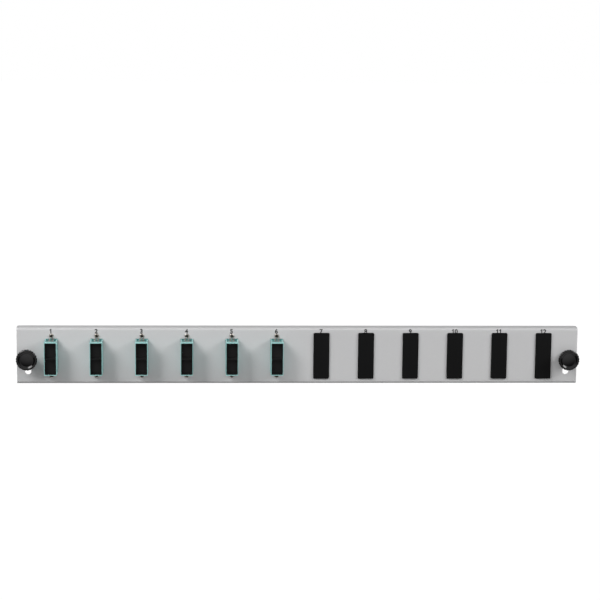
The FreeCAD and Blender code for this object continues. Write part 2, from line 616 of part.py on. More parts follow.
def build_knob(side, along):
    """Moulded thumbscrew knob: dished front, fluted ring, tapered waist and foot."""
    body = new_body(f"{side}_knob", along=along, up="-knob_drop")
    profile = new_sketch(body, "profile", "XY_Plane")
    foot = f"-({PLATE_FRONT} + knob_panel_gap)"
    front = f"-({PLATE_FRONT} + knob_length)"
    ring_front = f"({front} + knob_ring / 3)"
    ring_back = f"({ring_front} + knob_ring)"
    screw_end = f"{front} + knob_core"
    outline(profile, [
        ("0", f"{front} + knob_dish"), ("knob_dish_radius - knob_dish", f"{front} + knob_dish"),
        ("knob_dish_radius", front), ("knob_rim", front),
        ("knob_radius", ring_front), ("knob_radius", ring_back),
        ("knob_rim", f"{ring_back} + knob_ring / 3"),
        ("knob_waist", f"-({PLATE_FRONT} + knob_waist_at)"),
        ("knob_waist", f"{foot} - knob_foot_height - (knob_foot - knob_waist)"),
        ("knob_foot", f"{foot} - knob_foot_height"), ("knob_foot", foot),
        ("thread_radius", foot), ("thread_radius", screw_end), ("0", screw_end),
    ])
    revolve(body, profile, "V_Axis")
    groove = new_sketch(body, "flute", "XZ_Plane", forward=f"-({front})")
    circle(groove, "flute_radius", across="knob_radius + flute_radius / 3")
    flute = pocket(body, groove, f"{ring_back} - ({front}) + knob_ring / 3")
    ring = body.newObject("PartDesign::PolarPattern", f"{body.Name}_flutes")
    ring.Originals = [flute]
    ring.Axis = (groove, ["N_Axis"])
    ring.Angle = 360
    bind(ring, "Occurrences", "flute_count")
    body.Tip = ring
    return body


def build_thumbscrew(side, along):
    """Captive screw: a head moulded into the knob, a thin neck in the bush and a threaded end."""
    body = new_body(f"{side}_thumbscrew", along=along, up="-knob_drop")
    profile = new_sketch(body, "profile", "XY_Plane")
    head = f"-({PLATE_FRONT} + knob_length) + knob_core"
    neck = f"-({PLATE_FRONT} + knob_panel_gap)"
    tip = f"{SHOULDER} + thread_length"
    outline(profile, [
        ("0", head), ("thread_radius", head), ("thread_radius", neck), ("neck_radius", neck),
        ("neck_radius", SHOULDER), ("thread_radius", SHOULDER),
        ("thread_radius", f"{tip} - thread_lead"), ("thread_radius - thread_lead", tip), ("0", tip),
    ])
    revolve(body, profile, "V_Axis")
    return body


def build_slot_bush(side, along):
    """Nylon bush that guides the thumbscrew's neck along the slot."""
    body = new_body(f"{side}_slot_bush", along=along, up="-knob_drop")
    profile = new_sketch(body, "profile", "XY_Plane")
    bore = "neck_radius + neck_clear"
    boss = "slot_width / 2 - bush_slot_clear"
    nose = f"-({PLATE_FRONT} - bush_front_inset)"
    outline(profile, [
        (bore, nose), (boss, nose), (boss, "bush_panel_gap"), ("bush_radius", "bush_panel_gap"),
        ("bush_radius", BUSH_BACK), (bore, BUSH_BACK),
    ])
    revolve(body, profile, "V_Axis")
    return body


parts = [build_panel_plate(), build_sleeve_holders(), build_split_sleeves(),
         build_adapter_screws(), build_adapter_nuts()]
adapters = int(size("adapter_count"))
for place in range(1, adapters + 1):
    parts += [build_front_shell(place), build_rear_shell(place), build_adapter_clips(place)]
    for level in ("upper", "lower"):
        for end in ("front", "rear"):
            name = f"{end}_cap_{place}_{level}"
            parts.append(build_dust_cap(name, place, level == "upper", end == "rear"))
for place in range(adapters + 1, int(size("port_count")) + 1):
    parts.append(build_blank(place))
for hand, place in (("left", f"-{KNOB_OFFSET}"), ("right", KNOB_OFFSET)):
    parts += [build_knob(hand, place), build_thumbscrew(hand, place), build_slot_bush(hand, place)]
doc.recompute()

for item in doc.Objects:
    if "Invalid" in item.State or "Error" in item.State:
        raise ValueError(f"{item.Name} failed: {item.State}")
for body in parts:
    if body.Shape.isNull() or not body.Shape.isValid():
        raise ValueError(f"{body.Label} has no valid shape")

os.makedirs("parts", exist_ok=True)
for body in parts:
    body.Shape.exportStep(f"parts/{body.Label}.step")
    print(body.Label, len(body.Shape.Solids), round(body.Shape.Volume, 2))
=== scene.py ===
"""Dresses the fibre adapter panel: powder-coated steel, moulded aqua adapters, black caps and
blanks, glossy knobs, plated fasteners and printed port numbers. Blender add-on layout, run as a
script."""

import json
import math

import bmesh
import bpy
from mathutils import Matrix, Vector


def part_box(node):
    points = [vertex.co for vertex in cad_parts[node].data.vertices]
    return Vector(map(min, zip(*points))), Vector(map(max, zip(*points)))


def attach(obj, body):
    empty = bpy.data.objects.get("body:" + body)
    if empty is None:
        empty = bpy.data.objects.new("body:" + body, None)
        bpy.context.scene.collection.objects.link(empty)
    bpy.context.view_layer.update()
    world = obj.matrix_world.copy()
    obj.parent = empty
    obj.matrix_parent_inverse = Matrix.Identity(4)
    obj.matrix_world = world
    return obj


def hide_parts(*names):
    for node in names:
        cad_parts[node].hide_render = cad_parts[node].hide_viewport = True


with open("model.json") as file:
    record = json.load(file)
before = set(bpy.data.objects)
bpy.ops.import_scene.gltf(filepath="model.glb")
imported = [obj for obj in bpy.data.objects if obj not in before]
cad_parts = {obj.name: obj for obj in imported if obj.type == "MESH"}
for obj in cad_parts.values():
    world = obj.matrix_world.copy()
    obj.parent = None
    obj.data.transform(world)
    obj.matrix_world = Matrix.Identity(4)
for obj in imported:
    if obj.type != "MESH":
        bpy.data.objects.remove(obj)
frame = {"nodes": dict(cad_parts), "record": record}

bl_info = {
    "name": "Fibre adapter panel",
    "version": (1, 0, 0),
    "blender": (4, 5, 0),
    "location": "3D View > Sidebar > Adapter panel",
    "description": "Finishes and fine detail of a fibre adapter panel",
    "category": "Object",
}

MM = 0.001
MICRON = 0.001 * MM
SHARP = math.radians(32)
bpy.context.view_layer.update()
NODES = frame["nodes"]
PLATE_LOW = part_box("panel_plate")[0]
ADAPTERS = range(1, 7)
BLANKS = range(7, 13)
SIDES = ("left", "right")


def middle(node):
    """Middle of a node's box."""
    low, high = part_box(node)
    return (low + high) / 2


class Value:
    """A number in a node tree that varies over a surface, with Python's operators."""

    def __init__(self, tree, socket):
        self.tree = tree
        self.socket = socket

    def _with(self, operation, first, second):
        maths = self.tree.node("ShaderNodeMath", {"operation": operation}, {0: first, 1: second})
        return Value(self.tree, maths.outputs[0])

    def __add__(self, other):
        return self._with("ADD", self, other)

    __radd__ = __add__

    def __sub__(self, other):
        return self._with("SUBTRACT", self, other)

    def __rsub__(self, other):
        return self._with("SUBTRACT", other, self)

    def __mul__(self, other):
        return self._with("MULTIPLY", self, other)

    __rmul__ = __mul__

    def __pow__(self, other):
        return self._with("POWER", self, other)


class Tree:
    """A node tree whose nodes are added by type, settings and sockets."""

    def __init__(self, tree):
        self.tree = tree

    def node(self, kind, settings=None, sockets=None):
        """New node: its settings first, then the values or links of its sockets."""
        made = self.tree.nodes.new(kind)
        for name, value in (settings or {}).items():
            if name == "stops":
                self.set_stops(made.color_ramp, value)
            else:
                setattr(made, name, value)
        for name, value in (sockets or {}).items():
            if isinstance(value, Value):
                value = value.socket
            if isinstance(value, bpy.types.NodeSocket):
                self.tree.links.new(value, made.inputs[name])
            else:
                made.inputs[name].default_value = value
        return made

    @staticmethod
    def set_stops(ramp, stops):
        while len(ramp.elements) < len(stops):
            ramp.elements.new(0.5)
        for element, (position, colour) in zip(ramp.elements, stops):
            element.position = position
            element.color = (*colour, 1.0)


class Finish(Tree):
    """One procedural material, built on a Principled shader and the object's own coordinates."""

    def __init__(self, name, **constants):
        self.material = bpy.data.materials.new(name)
        self.material.use_nodes = True
        super().__init__(self.material.node_tree)
        self.shader = self.tree.nodes["Principled BSDF"]
        self.place = self.node("ShaderNodeTexCoord").outputs["Object"]
        for socket, value in constants.items():
            self.shader.inputs[socket.replace("_", " ")].default_value = value

    def noise(self, per_metre, detail=2.0, stretch=None, roughness=0.5):
        """Noise from 0 to 1 on the object's coordinates, stretched along an axis where asked."""
        where = self.place
        if stretch:
            mapping = self.node("ShaderNodeMapping", None, {"Vector": where, "Scale": stretch})
            where = mapping.outputs[0]
        sockets = {"Vector": where, "Scale": per_metre, "Detail": detail, "Roughness": roughness}
        made = self.node("ShaderNodeTexNoise", None, sockets)
        return Value(self, made.outputs[0])

    def grains(self, per_metre):
        """Distance to the nearest of many scattered points, for grained moulds and coatings."""
        made = self.node("ShaderNodeTexVoronoi", {"feature": "SMOOTH_F1"},
                         {"Vector": self.place, "Scale": per_metre, "Smoothness": 0.6})
        return Value(self, made.outputs[0])

    def ramp(self, value, stops):
        return self.node("ShaderNodeValToRGB", {"stops": stops}, {0: value}).outputs[0]

    def blend(self, factor, first, second):
        """Colour between two, each a tuple or a socket, by a value from 0 to 1."""
        ends = [(*end, 1.0) if isinstance(end, tuple) else end for end in (first, second)]
        made = self.node("ShaderNodeMix", {"data_type": "RGBA", "clamp_factor": True},
                         {0: factor, 6: ends[0], 7: ends[1]})
        return made.outputs[2]

    def set(self, socket, value):
        if isinstance(value, Value):
            value = value.socket
        self.tree.links.new(value, self.shader.inputs[socket])

    def bump(self, height, distance, strength=1.0):
        made = self.node("ShaderNodeBump", None,
                         {"Height": height, "Distance": distance, "Strength": strength})
        self.tree.links.new(made.outputs[0], self.shader.inputs["Normal"])


def rays(tree):
    """Three values, each one or nought: rays from the camera, from a mirror and through glass."""
    path = tree.node("ShaderNodeLightPath")
    names = ("Is Camera Ray", "Is Glossy Ray", "Is Transmission Ray")
    return [Value(tree, path.outputs[name]) for name in names]


def seen(tree):
    """One for rays from the camera, from a mirror or through glass, and nought for the rest."""
    camera, mirror, glass = rays(tree)
    return 1 - (1 - camera) * (1 - mirror) * (1 - glass)


def scaled(colour, factor):
    return tuple(part * factor for part in colour)


# Finishes

def powder_coat(name, colour):
    """Baked powder: a fine orange peel with a faint mottle."""
    finish = Finish(name, Specular_IOR_Level=0.42)
    mottle = finish.noise(520, 3.0)
    drift = finish.noise(14, 2.0)
    tone = mottle * 0.5 + drift * 0.5
    finish.set("Base Color", finish.blend(tone, scaled(colour, 0.955), scaled(colour, 1.04)))
    finish.set("Roughness", 0.44 + finish.noise(900) * 0.14)
    finish.bump(finish.noise(1150, 1.5) * 0.7 + finish.noise(3800, 1.0) * 0.3, 30 * MICRON, 0.55)
    return finish.material


def moulded(name, colour, rough, grain, depth, spread=0.06, **constants):
    """Injection-moulded plastic with a spark-eroded grain and a slight flow mottle."""
    finish = Finish(name, **constants)
    flow = finish.noise(70, 3.0, stretch=(1.0, 1.0, 0.35))
    speck = finish.noise(grain, 2.0)
    tone = flow * 0.65 + speck * 0.35
    dark, light = scaled(colour, 1 - spread), scaled(colour, 1 + spread)
    finish.set("Base Color", finish.blend(tone, dark, light))
    finish.set("Roughness", rough - 0.06 + speck * 0.12)
    finish.bump(speck * 0.6 + finish.grains(grain * 1.7) * 0.4, depth, 0.6)
    return finish.material


def glossy_moulded(name, colour, rough):
    """Polished black plastic with faint handling haze."""
    finish = Finish(name, Specular_IOR_Level=0.3)
    haze = finish.noise(240, 4.0, roughness=0.6)
    finish.set("Base Color", finish.blend(haze, scaled(colour, 0.8), scaled(colour, 1.5)))
    finish.set("Roughness", rough + haze ** 2 * 0.16)
    finish.bump(finish.noise(1600, 2.0), 12 * MICRON, 0.35)
    return finish.material


def plated(name, dark, mid, bright, rough):
    """Zinc plating with a passivated bloom that shifts in colour, painted near black as shade
    where a mesh's shade attribute is set.
    """
    finish = Finish(name, Metallic=0.85)
    bloom = finish.noise(780, 3.0, roughness=0.6)
    recess = finish.node("ShaderNodeAttribute", {"attribute_name": "recess"}).outputs["Fac"]
    film = finish.ramp(bloom, [(0.3, dark), (0.5, mid), (0.72, bright)])
    # Painted shade: where the recess attribute is set, the plating is blended to near black
    finish.set("Base Color", finish.blend(recess, film, (0.012, 0.009, 0.007)))
    finish.set("Roughness", rough + finish.noise(2600, 2.0) * 0.18)
    finish.bump(finish.noise(5200, 1.0), 10 * MICRON, 0.4)
    return finish.material


def drawn_steel(name, colour, rough, stretch):
    """Rolled or drawn steel with fine lines along one axis."""
    finish = Finish(name, Metallic=0.9)
    lines = finish.noise(2400, 3.0, stretch=stretch)
    finish.set("Base Color", finish.blend(lines, scaled(colour, 0.78), scaled(colour, 1.12)))
    finish.set("Roughness", rough + lines * 0.2)
    finish.bump(lines, 8 * MICRON, 0.5)
    return finish.material


def fired_ceramic(name, colour):
    """Polished ceramic, a little clouded and translucent."""
    finish = Finish(name, Coat_Weight=0.3, Subsurface_Weight=0.05)
    cloud = finish.noise(900, 3.0)
    finish.set("Base Color", finish.blend(cloud, scaled(colour, 0.95), scaled(colour, 1.03)))
    finish.set("Roughness", 0.16 + cloud * 0.1)
    finish.bump(finish.noise(4000, 1.0), 4 * MICRON, 0.3)
    return finish.material


def screen_ink(name, colour):
    """Screen-printed ink with a slightly uneven film."""
    finish = Finish(name, Specular_IOR_Level=0.4)
    film = finish.noise(2600, 3.0)
    finish.set("Base Color", finish.blend(film, scaled(colour, 0.7), scaled(colour, 1.8)))
    finish.set("Roughness", 0.42 + film * 0.2)
    finish.bump(film, 6 * MICRON, 0.4)
    return finish.material


# Mesh helpers

def add_piece(name, body, bm, replaced=()):
    """Finish a bmesh as a piece that rides on a body and stands for CAD nodes."""
    mesh = bpy.data.meshes.new(name)
    bm.to_mesh(mesh)
    bm.free()
    mesh.shade_smooth()
    mesh.set_sharp_from_angle(angle=SHARP)
    piece = bpy.data.objects.new(name, mesh)
    bpy.context.scene.collection.objects.link(piece)
    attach(piece, body)
    if replaced:
        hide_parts(*replaced)
    return piece


def body_of_node(node):
    bodies = frame["record"]["behaviour"]["bodies"]
    return next(name for name, members in bodies.items() if node in members)


def eased_copy(node, radius):
    """A node's own form with its edges eased, as every moulded, folded or stamped edge is."""
    bm = bmesh.new()
    bm.from_mesh(NODES[node].data)
    bmesh.ops.remove_doubles(bm, verts=bm.verts, dist=MICRON)
    bmesh.ops.dissolve_limit(bm, angle_limit=math.radians(1), verts=bm.verts, edges=bm.edges)
    piece = add_piece(f"{node}_eased", body_of_node(node), bm, (node,))
    bevel = piece.modifiers.new("eased edges", "BEVEL")
    bevel.width = radius
    bevel.segments = 2
    bevel.limit_method = "ANGLE"
    bevel.angle_limit = SHARP
    return piece


def eased(points, reach, steps=3):
    """Profile with each corner rounded over a reach, or over most of half its shorter side."""
    made = [Vector(points[0])]
    for before, corner, after in zip(points, points[1:], points[2:]):
        corner = Vector(corner)
        legs = [Vector(spot) - corner for spot in (before, after)]
        first, last = (corner + leg.normalized() * min(reach, leg.length * 0.45) for leg in legs)
        for step in range(steps + 1):
            share = step / steps
            rest = 1 - share
            made.append(first * rest ** 2 + corner * 2 * share * rest + last * share ** 2)
    return made + [Vector(points[-1])]


def turned(bm, points, steps):
    """Surface of revolution about the Y axis from a profile of radius and depth."""
    verts = [bm.verts.new((radius, depth, 0)) for radius, depth in points]
    edges = [bm.edges.new(pair) for pair in zip(verts, verts[1:])]
    bmesh.ops.spin(bm, geom=verts + edges, cent=(0, 0, 0), axis=(0, 1, 0),
                   angle=2 * math.pi, steps=steps, use_merge=True, use_duplicate=False)
    bmesh.ops.remove_doubles(bm, verts=bm.verts, dist=0.1 * MICRON)


def angle_of(vert):
    return math.atan2(vert.co.z, vert.co.x)


def draw_in(bm, outline, shade=0.0):
    """Extrude the one open rim and lay the new edge, with its share of painted shade, on an
    outline by angle.
    """
    rim = [edge for edge in bm.edges if edge.is_boundary]
    layer = bm.verts.layers.float.get("recess") or bm.verts.layers.float.new("recess")
    made = bmesh.ops.extrude_edge_only(bm, edges=rim)["geom"]
    for vert in made:
        if isinstance(vert, bmesh.types.BMVert):
            vert.co = outline(angle_of(vert))
            vert[layer] = shade


def close_rim(bm):
    bmesh.ops.contextual_create(bm, geom=[edge for edge in bm.edges if edge.is_boundary])


def cross_outline(reach, depth):
    """Outline of a cross whose arms are as wide as 40 degrees of its reach."""
    half = reach * math.tan(math.radians(20))

    def spot(angle):
        over, up = abs(math.cos(angle)) + 1e-9, abs(math.sin(angle)) + 1e-9
        radius = max(min(reach / over, half / up), min(half / over, reach / up))
        return Vector((radius * math.cos(angle), depth, radius * math.sin(angle)))
    return spot


def thread_ridge(bm, radius, depth, start, stop, pitch, steps):
    """Helical ridge about the Y axis, round a core, closed at both ends."""
    turns = (stop - start) / pitch - 1
    half = pitch * 0.42
    base = start + half
    spots = [(radius - depth, base - half), (radius, base), (radius - depth, base + half)]
    verts = [bm.verts.new((across, along, 0)) for across, along in spots]
    loop = [bm.edges.new((verts[index], verts[(index + 1) % 3])) for index in range(3)]
    count = int(steps * turns)
    rise = (0, pitch * turns / count, 0)
    swept = bmesh.ops.spin(bm, geom=verts + loop, cent=(0, 0, 0), axis=(0, 1, 0),
                           angle=2 * math.pi * turns, steps=count, dvec=rise)
    last = [item for item in swept["geom_last"] if isinstance(item, bmesh.types.BMEdge)]
    bmesh.ops.contextual_create(bm, geom=loop)
    bmesh.ops.contextual_create(bm, geom=last)


def stamped(single, places):
    """Copies of a bmesh at several places, in one bmesh."""
    mesh = bpy.data.meshes.new("single")
    single.to_mesh(mesh)
    single.free()
    bm = bmesh.new()
    for place in places:
        before = len(bm.verts)
        bm.from_mesh(mesh)
        bm.verts.ensure_lookup_table()
        bmesh.ops.transform(bm, matrix=place, verts=bm.verts[before:])
    bpy.data.meshes.remove(mesh)
    return bm


def move(bm, offset, verts=None):
    bmesh.ops.translate(bm, verts=verts or bm.verts, vec=offset)


def outward(bm):
    bmesh.ops.recalc_face_normals(bm, faces=bm.faces)


def paint(piece, material):
    """Give a piece its one material."""
    piece.data.materials.clear()
    piece.data.materials.append(material)


class PanelLook(bpy.types.PropertyGroup):
    """Colours and sizes that a user would change."""

    paint: bpy.props.FloatVectorProperty(
        name="Panel paint", description="Colour of the powder coat", subtype="COLOR",
        default=(0.52, 0.52, 0.525))
    aqua: bpy.props.FloatVectorProperty(
        name="Adapter plastic", description="Colour of the adapters", subtype="COLOR",
        default=(0.34, 0.66, 0.64))
    cap: bpy.props.FloatVectorProperty(
        name="Cap plastic", description="Colour of the dust caps", subtype="COLOR",
        default=(0.009, 0.0095, 0.0095))
    blank: bpy.props.FloatVectorProperty(
        name="Blank plastic", description="Colour of the blanks", subtype="COLOR",
        default=(0.0045, 0.0045, 0.0047))
    knob: bpy.props.FloatVectorProperty(
        name="Knob plastic", description="Colour of the knobs", subtype="COLOR",
        default=(0.0018, 0.0018, 0.002))
    numeral_height: bpy.props.FloatProperty(
        name="Numeral height", description="Height of the port numbers",
        subtype="DISTANCE", default=3.36 * MM)
    numeral_level: bpy.props.FloatProperty(
        name="Numeral level", description="Foot of the port numbers above the panel's middle",
        subtype="DISTANCE", default=17.4 * MM)
    numeral_shift: bpy.props.FloatProperty(
        name="Numeral shift", description="Port numbers to the left of their ports",
        subtype="DISTANCE", default=0.35 * MM)
    numeral_weight: bpy.props.FloatProperty(
        name="Numeral weight", description="Thickening of the strokes on each side",
        subtype="DISTANCE", default=0.17 * MM)
    flutes: bpy.props.IntProperty(name="Flutes", description="Flutes round each knob", default=24)
    edge_ease: bpy.props.FloatProperty(
        name="Edge easing", description="Radius on moulded edges",
        subtype="DISTANCE", default=0.16 * MM)


class StageLook(bpy.types.PropertyGroup):
    """Camera and lights."""

    camera_place: bpy.props.FloatVectorProperty(
        name="Camera place", description="Camera's position", subtype="TRANSLATION",
        default=(-0.07676, -1.4493, 0.2838))
    yaw: bpy.props.FloatProperty(
        name="Yaw", description="Turn to the right",
        subtype="ANGLE", default=math.radians(3.050))
    pitch: bpy.props.FloatProperty(
        name="Pitch", description="Tilt down",
        subtype="ANGLE", default=math.radians(9.415))
    roll: bpy.props.FloatProperty(
        name="Roll", description="Lean of the frame",
        subtype="ANGLE", default=math.radians(0.592))
    lens: bpy.props.FloatProperty(
        name="Lens", description="Focal length on a 36 mm sensor", default=115.2)
    floor_drop: bpy.props.FloatProperty(
        name="Floor drop", description="Floor below the panel's middle",
        subtype="DISTANCE", default=0.40)
    floor_front: bpy.props.FloatProperty(
        name="Floor front", description="Floor in front of the panel",
        subtype="DISTANCE", default=0.3)
    floor_colour: bpy.props.FloatVectorProperty(
        name="Floor colour", description="Colour of the floor as the panel sees it",
        subtype="COLOR", default=(0.12, 0.12, 0.12))
    key_place: bpy.props.FloatVectorProperty(
        name="Key place", description="Left softbox",
        subtype="TRANSLATION", default=(-0.85, -0.70, 0.80))
    fill_place: bpy.props.FloatVectorProperty(
        name="Fill place", description="Right softbox",
        subtype="TRANSLATION", default=(1.0, -0.65, 0.62))
    key_size: bpy.props.FloatProperty(
        name="Key size", description="Side of the left softbox",
        subtype="DISTANCE", default=0.6)
    fill_size: bpy.props.FloatProperty(
        name="Fill size", description="Side of the right softbox",
        subtype="DISTANCE", default=0.45)
    aim: bpy.props.FloatProperty(
        name="Aim", description="Points that the softboxes face, from the panel's middle",
        subtype="DISTANCE", default=0.25)
    spread: bpy.props.FloatProperty(
        name="Spread", description="Angle that each softbox's grid leaves open",
        subtype="ANGLE", default=math.radians(60))
    key_power: bpy.props.FloatProperty(
        name="Key power", description="Left softbox, in watts", default=1.52)
    fill_power: bpy.props.FloatProperty(
        name="Fill power", description="Right softbox, in watts", default=0.95)
    front_room: bpy.props.FloatProperty(
        name="Front room", description="Strength of the light from in front", default=1.38)
    front_edge: bpy.props.FloatProperty(
        name="Front edge", description="Cosine where the front light ends", default=0.6)
    front_tilt: bpy.props.FloatProperty(
        name="Front tilt", description="Height of the front light's middle",
        subtype="ANGLE", default=math.radians(20))
    side_room: bpy.props.FloatProperty(
        name="Side room", description="Strength of the light from the sides and above",
        default=0.03)
    rear_room: bpy.props.FloatProperty(
        name="Rear room", description="Strength of the light from behind", default=1.85)


class PANEL_OT_plate(bpy.types.Operator):
    """Powder-coat the folded plate"""

    bl_idname = "adapter_panel.plate"
    bl_label = "Plate"

    def execute(self, context):
        look = context.scene.panel_look
        coat = powder_coat("light_grey_powder", tuple(look.paint))
        paint(eased_copy("panel_plate", 0.12 * MM), coat)
        return {"FINISHED"}


class PANEL_OT_numbers(bpy.types.Operator):
    """Print the port numbers on the plate's front"""

    bl_idname = "adapter_panel.numbers"
    bl_label = "Port numbers"

    def execute(self, context):
        look = context.scene.panel_look
        ink = screen_ink("black_ink", (0.008, 0.008, 0.008))
        film = 0.02 * MM
        advance = 0.7 * look.numeral_height
        figures = {figure: self.shape_figure(context, figure, look, film)
                   for figure in "0123456789"}
        upright = Matrix.Rotation(math.pi / 2, 4, "X")
        for number in (*ADAPTERS, *BLANKS):
            node = f"front_shell_{number}" if number in ADAPTERS else f"blank_{number}"
            across = middle(node).x - look.numeral_shift
            spot = (across, PLATE_LOW.y - film / 2, look.numeral_level)
            start = -advance * (len(str(number)) - 1) / 2
            bm = bmesh.new()
            for index, figure in enumerate(str(number)):
                before = len(bm.verts)
                bm.from_mesh(figures[figure])
                bm.verts.ensure_lookup_table()
                move(bm, (start + index * advance, 0, 0), bm.verts[before:])
            bmesh.ops.transform(bm, matrix=Matrix.Translation(spot) @ upright, verts=bm.verts)
            paint(add_piece(f"number_{number}", "panel", bm), ink)
        for mesh in figures.values():
            bpy.data.meshes.remove(mesh)
        return {"FINISHED"}

    def shape_figure(self, context, figure, look, film):
        """Mesh of one figure, its strokes thickened along their edges, with a flag on a 1."""
        # Height of a figure in its typeface, and least cosine of a wall to its corner's way out
        capital, sharpest = 0.73, 0.6
        curve = bpy.data.curves.new("figure", "FONT")
        curve.body = figure
        curve.align_x = "CENTER"
        curve.size = look.numeral_height / capital
        curve.extrude = film / 2
        text = bpy.data.objects.new("figure", curve)
        context.scene.collection.objects.link(text)
        context.view_layer.update()
        solid = text.evaluated_get(context.evaluated_depsgraph_get())
        mesh = bpy.data.meshes.new_from_object(solid)
        bpy.data.objects.remove(text)
        bm = bmesh.new()
        bm.from_mesh(mesh)
        bmesh.ops.remove_doubles(bm, verts=bm.verts, dist=0.1 * MICRON)
        bm.normal_update()
        steps = []
        for vert in bm.verts:
            walls = [face.normal for face in vert.link_faces if abs(face.normal.z) < 0.5]
            way = sum(walls, Vector()).normalized()
            reach = look.numeral_weight / max([way.dot(wall) for wall in walls] + [sharpest])
            steps.append(way * reach)
        for vert, step in zip(bm.verts, steps):
            vert.co += step
        if figure == "1":
            flag = bmesh.ops.create_cube(bm, size=1.0)["verts"]
            slope = Matrix.Rotation(math.radians(35), 3, "Z")
            bmesh.ops.scale(bm, verts=flag, vec=(1.25 * MM, 0.6 * MM, 0.9 * film))
            bmesh.ops.rotate(bm, verts=flag, cent=(0, 0, 0), matrix=slope)
            move(bm, (-0.5 * MM, look.numeral_height - 0.75 * MM, 0), flag)
        bm.to_mesh(mesh)
        bm.free()
        return mesh


class PANEL_OT_adapters(bpy.types.Operator):
    """Mould the adapters, their caps and what is inside them"""

    bl_idname = "adapter_panel.adapters"
    bl_label = "Adapters and caps"

    def execute(self, context):
        look = context.scene.panel_look
        aqua = moulded("aqua_adapter_plastic", tuple(look.aqua), 0.36, 2600, 10 * MICRON,
                       Coat_Weight=0.12, Coat_Roughness=0.25)
        cap = moulded("black_cap_plastic", tuple(look.cap), 0.5, 2200, 14 * MICRON, spread=0.2,
                      Specular_IOR_Level=0.1)
        clip = drawn_steel("clip_spring_steel", (0.55, 0.55, 0.53), 0.28, (1.0, 0.08, 1.0))
        for number in ADAPTERS:
            for end in ("front", "rear"):
                paint(eased_copy(f"{end}_shell_{number}", look.edge_ease), aqua)
                for level in ("upper", "lower"):
                    paint(eased_copy(f"{end}_cap_{number}_{level}", look.edge_ease), cap)
            paint(eased_copy(f"adapter_clips_{number}", 0.05 * MM), clip)
        holder = moulded("holder_plastic", (0.7, 0.7, 0.67), 0.42, 2600, 10 * MICRON)
        paint(NODES["sleeve_holders"], holder)
        paint(NODES["split_sleeves"], fired_ceramic("sleeve_ceramic", (0.82, 0.81, 0.76)))
        return {"FINISHED"}


class PANEL_OT_blanks(bpy.types.Operator):
    """Mould the blanks in grained black"""

    bl_idname = "adapter_panel.blanks"
    bl_label = "Blanks"

    def execute(self, context):
        look = context.scene.panel_look
        grained = moulded("black_blank_plastic", tuple(look.blank), 0.56, 1900, 20 * MICRON,
                          spread=0.25, Specular_IOR_Level=0.08)
        for number in BLANKS:
            paint(eased_copy(f"blank_{number}", 0.1 * MM), grained)
        return {"FINISHED"}


class PANEL_OT_knobs(bpy.types.Operator):
    """Turn the knobs, thread their screws and mould their bushes"""

    bl_idname = "adapter_panel.knobs"
    bl_label = "Thumbscrews"

    def execute(self, context):
        look = context.scene.panel_look
        gloss = glossy_moulded("black_knob_plastic", tuple(look.knob), 0.08)
        steel = drawn_steel("screw_steel", (0.6, 0.6, 0.6), 0.3, (1.0, 0.1, 1.0))
        nylon = moulded("bush_nylon", (0.72, 0.71, 0.66), 0.45, 1800, 10 * MICRON)
        for side in SIDES:
            self.add_knob(side, look, gloss)
            self.add_screw(side, steel)
            paint(eased_copy(f"{side}_slot_bush", 0.1 * MM), nylon)
        return {"FINISHED"}

    def add_knob(self, side, look, material):
        """Dished front, fluted ring, tapered waist and foot, at the size of the solid."""
        node = f"{side}_knob"
        low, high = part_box(node)
        radius, front, foot = (high.x - low.x) / 2, low.y, high.y
        bore, screw = 2.5 * MM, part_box(f"{side}_thumbscrew")[0].y
        rim, dish, face = radius - 0.8 * MM, radius - 1.6 * MM, 5.2 * MM
        waist, base = 4.6 * MM, 5.0 * MM
        points = [
            *self.domed(face, front + 0.85 * MM, 0.45 * MM), (dish, front), (rim, front),
            (radius, front + 0.5 * MM), (radius, front + 2.0 * MM), (rim, front + 2.5 * MM),
            (waist, front + 7.1 * MM), (waist, foot - 2.0 * MM), (base, foot - 1.6 * MM),
            (base, foot), (bore, foot), (bore, screw), (0, screw)]
        bm = bmesh.new()
        turned(bm, eased(points, 0.22 * MM), 12 * look.flutes)
        gap = 2 * math.pi / look.flutes
        cut, centre = 0.55 * MM, radius + 0.18 * MM
        for vert in bm.verts:
            across = math.hypot(vert.co.x, vert.co.z)
            turn = (angle_of(vert) + gap / 2) % gap - gap / 2
            side_step = centre * math.sin(turn)
            if across > rim - MICRON and abs(side_step) < cut:
                floor = centre * math.cos(turn) - math.sqrt(cut ** 2 - side_step ** 2)
                if floor < across:
                    vert.co.x *= floor / across
                    vert.co.z *= floor / across
        outward(bm)
        move(bm, ((low.x + high.x) / 2, 0, (low.z + high.z) / 2))
        made = add_piece(f"{side}_knob_turned", body_of_node(node), bm, (node,))
        paint(made, material)

    def domed(self, reach, edge, rise):
        """Profile of a low dome round the axis, from its middle to its edge."""
        shares = [step / 10 for step in range(11)]
        return [(reach * share, edge - rise * (1 - share ** 2)) for share in shares]

    def add_screw(self, side, material):
        """Neck, shoulder and threaded end, at the size of the solid."""
        node = f"{side}_thumbscrew"
        low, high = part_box(node)
        radius, tip = (high.x - low.x) / 2, high.y
        neck, shoulder, root = 1.6 * MM, 1.7 * MM, 2.06 * MM
        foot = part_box(f"{side}_knob")[1].y
        lead = 0.4 * MM
        points = [(0, low.y), (radius, low.y), (radius, foot), (neck, foot), (neck, shoulder),
                  (root, shoulder), (root, tip - lead), (root - lead, tip), (0, tip)]
        bm = bmesh.new()
        turned(bm, eased(points, 0.08 * MM, 2), 48)
        thread_ridge(bm, radius, 0.5 * MM, shoulder, tip - 0.2 * MM, 0.8 * MM, 40)
        outward(bm)
        move(bm, ((low.x + high.x) / 2, 0, (low.z + high.z) / 2))
        made = add_piece(f"{side}_thumbscrew_threaded", body_of_node(node), bm,
                         (node,))
        paint(made, material)


